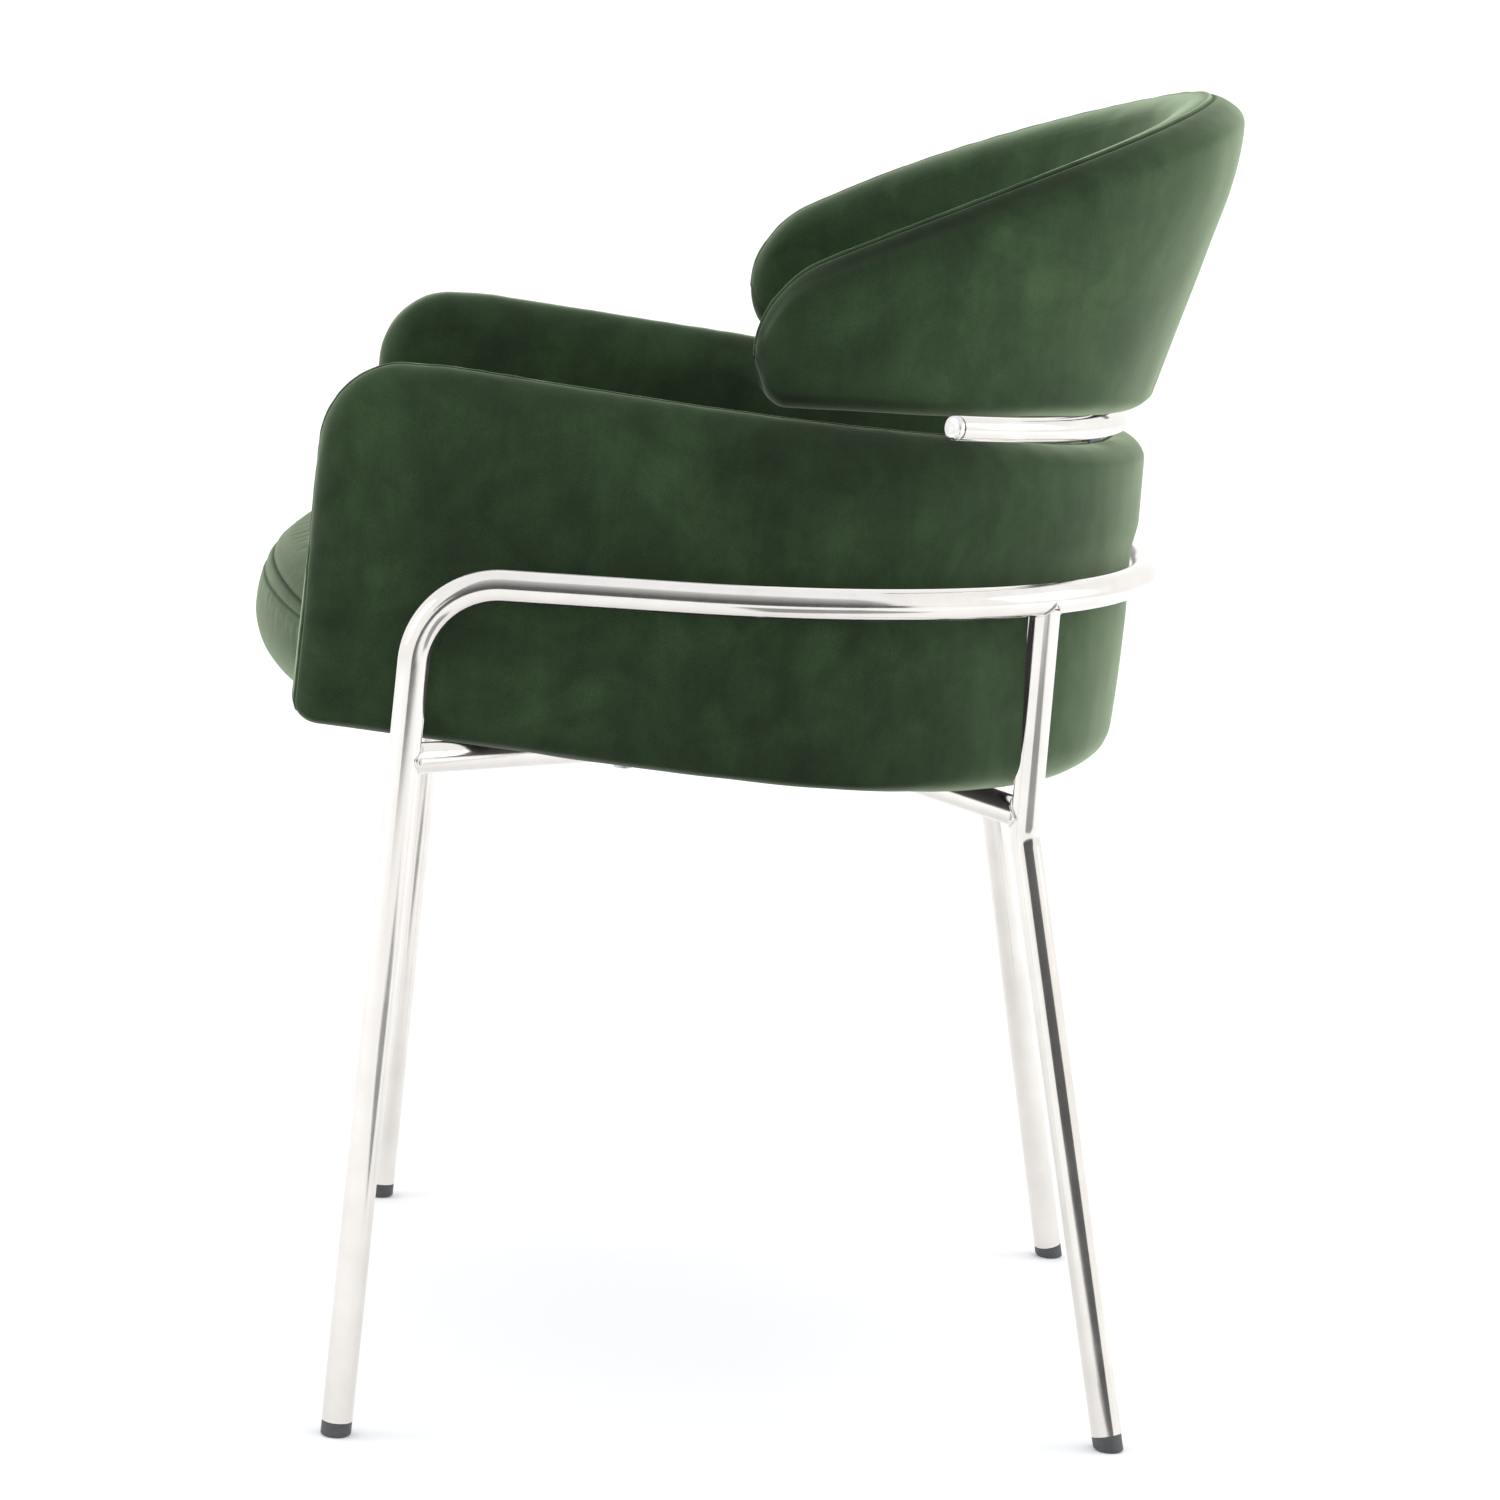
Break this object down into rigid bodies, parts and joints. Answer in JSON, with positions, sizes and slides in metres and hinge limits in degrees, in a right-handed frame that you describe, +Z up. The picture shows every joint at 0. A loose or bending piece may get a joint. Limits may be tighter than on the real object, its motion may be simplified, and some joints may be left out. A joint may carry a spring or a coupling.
{
  "type": "dining chair",
  "caption": "Dining armchair with a bent chrome tube frame that carries a padded velvet tub seat and a separate winged upper back.",
  "frame": {"origin": "on the floor, under the middle of the chair's width and depth", "axes": "+Z up; the chair faces -Y; +X is the side nearest to the viewer of the source picture"},
  "size_m": [0.5778, 0.5781, 0.7875],
  "materials": {
    "velvet": "dark green velvet with a short nap",
    "chrome": "mirror-polished chrome plating",
    "steel": "plain zinc-plated steel",
    "plywood": "unfinished birch plywood",
    "foam": "open-cell polyurethane foam",
    "glide_plastic": "moulded dark grey plastic",
    "dust_cloth": "thin black non-woven cloth"
  },
  "bodies": {
    "root": {"hoop_tube": "chrome", "rear_leg_left": "chrome", "rear_leg_right": "chrome", "brace_long": "chrome", "brace_half_front": "chrome", "brace_half_rear": "chrome", "glide_front_left": "glide_plastic", "glide_front_right": "glide_plastic", "glide_rear_left": "glide_plastic", "glide_rear_right": "glide_plastic", "back_support_tube": "chrome", "support_cap_left": "chrome", "support_cap_right": "chrome", "back_post_left": "steel", "back_post_right": "steel", "post_screws_lower": "steel", "post_screws_upper": "steel", "brace_spacers": "glide_plastic", "brace_bolts": "steel", "seat_tee_nuts": "steel", "seat_panel": "plywood", "panel_screws": "steel", "dust_cover": "dust_cloth", "seat_foam": "foam", "seat_cover_top": "velvet", "seat_cover_front": "velvet", "tub_core": "plywood", "tub_foam_outer": "foam", "tub_foam_inner": "foam", "tub_cover_outer": "velvet", "tub_cover_inner": "velvet", "back_core": "plywood", "back_foam_outer": "foam", "back_foam_inner": "foam", "back_cover_outer": "velvet", "back_cover_inner": "velvet"}
  },
  "joints": []
}
